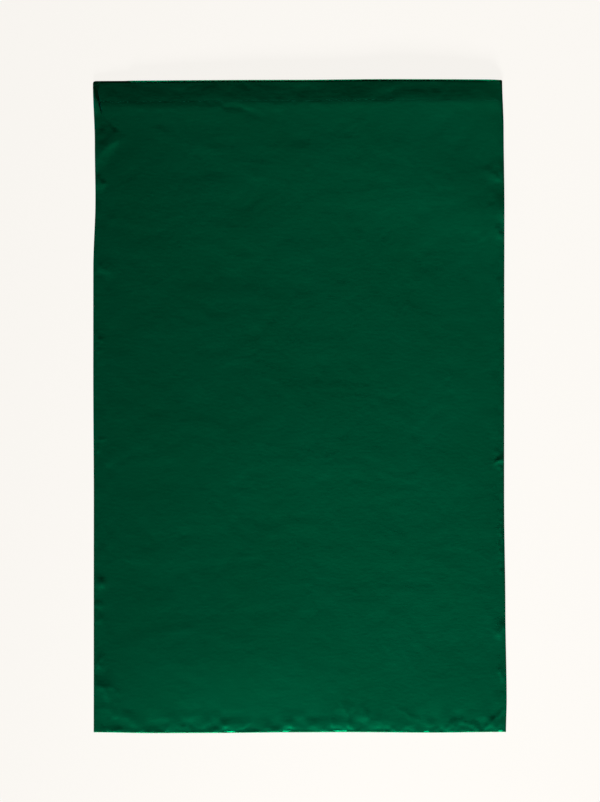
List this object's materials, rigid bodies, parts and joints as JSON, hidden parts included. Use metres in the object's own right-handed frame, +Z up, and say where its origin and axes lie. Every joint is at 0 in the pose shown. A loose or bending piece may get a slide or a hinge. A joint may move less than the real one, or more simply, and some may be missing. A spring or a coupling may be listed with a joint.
{
  "type": "fabric gift sack",
  "caption": "Flat satin gift sack, empty, with two panels sewn on three sides and a hemmed open mouth; its bottom third folds up and the mouth lifts open.",
  "frame": {"origin": "centre of the sack's footprint, on the surface that it lies on", "axes": "+Y from the closed bottom edge to the open mouth, +Z up out of the front panel, +X to the right seen from above with the mouth at the top"},
  "size_m": [0.505, 0.8, 0.0079],
  "materials": {
    "satin": "dark emerald satin weave with a soft sheen",
    "thread": "dark emerald polyester sewing thread"
  },
  "bodies": {
    "root": {"back_panel_upper": "satin", "front_panel_middle": "satin", "back_hem_facing": "satin", "back_hem_stitching": "thread", "front_hem_stitching_ends": "thread", "side_allowance_left_upper": "satin", "side_allowance_right_upper": "satin", "side_seam_left_upper": "thread", "side_seam_right_upper": "thread", "side_overlock_left_upper": "thread", "side_overlock_right_upper": "thread", "front_border_left_upper": "satin", "front_border_right_upper": "satin"},
    "front_mouth": {"front_mouth_panel": "satin", "front_hem_facing": "satin", "front_hem_stitching": "thread"},
    "bottom_fold": {"back_panel_lower": "satin", "front_panel_lower": "satin", "bottom_allowance": "satin", "bottom_seam": "thread", "bottom_overlock": "thread", "side_allowance_left_lower": "satin", "side_allowance_right_lower": "satin", "side_seam_left_lower": "thread", "side_seam_right_lower": "thread", "side_overlock_left_lower": "thread", "side_overlock_right_lower": "thread", "front_border_bottom": "satin", "front_border_left_lower": "satin", "front_border_right_lower": "satin"}
  },
  "joints": [
    {"name": "mouth_lift", "type": "hinge", "parent": "root", "child": "front_mouth", "pos_m": [0, 0.16, 0.0078], "axis": [1, 0, 0], "range_deg": [0, 20]},
    {"name": "bottom_third_fold", "type": "hinge", "parent": "root", "child": "bottom_fold", "pos_m": [0, -0.13, 0.0084], "axis": [-1, 0, 0], "range_deg": [0, 180]}
  ]
}
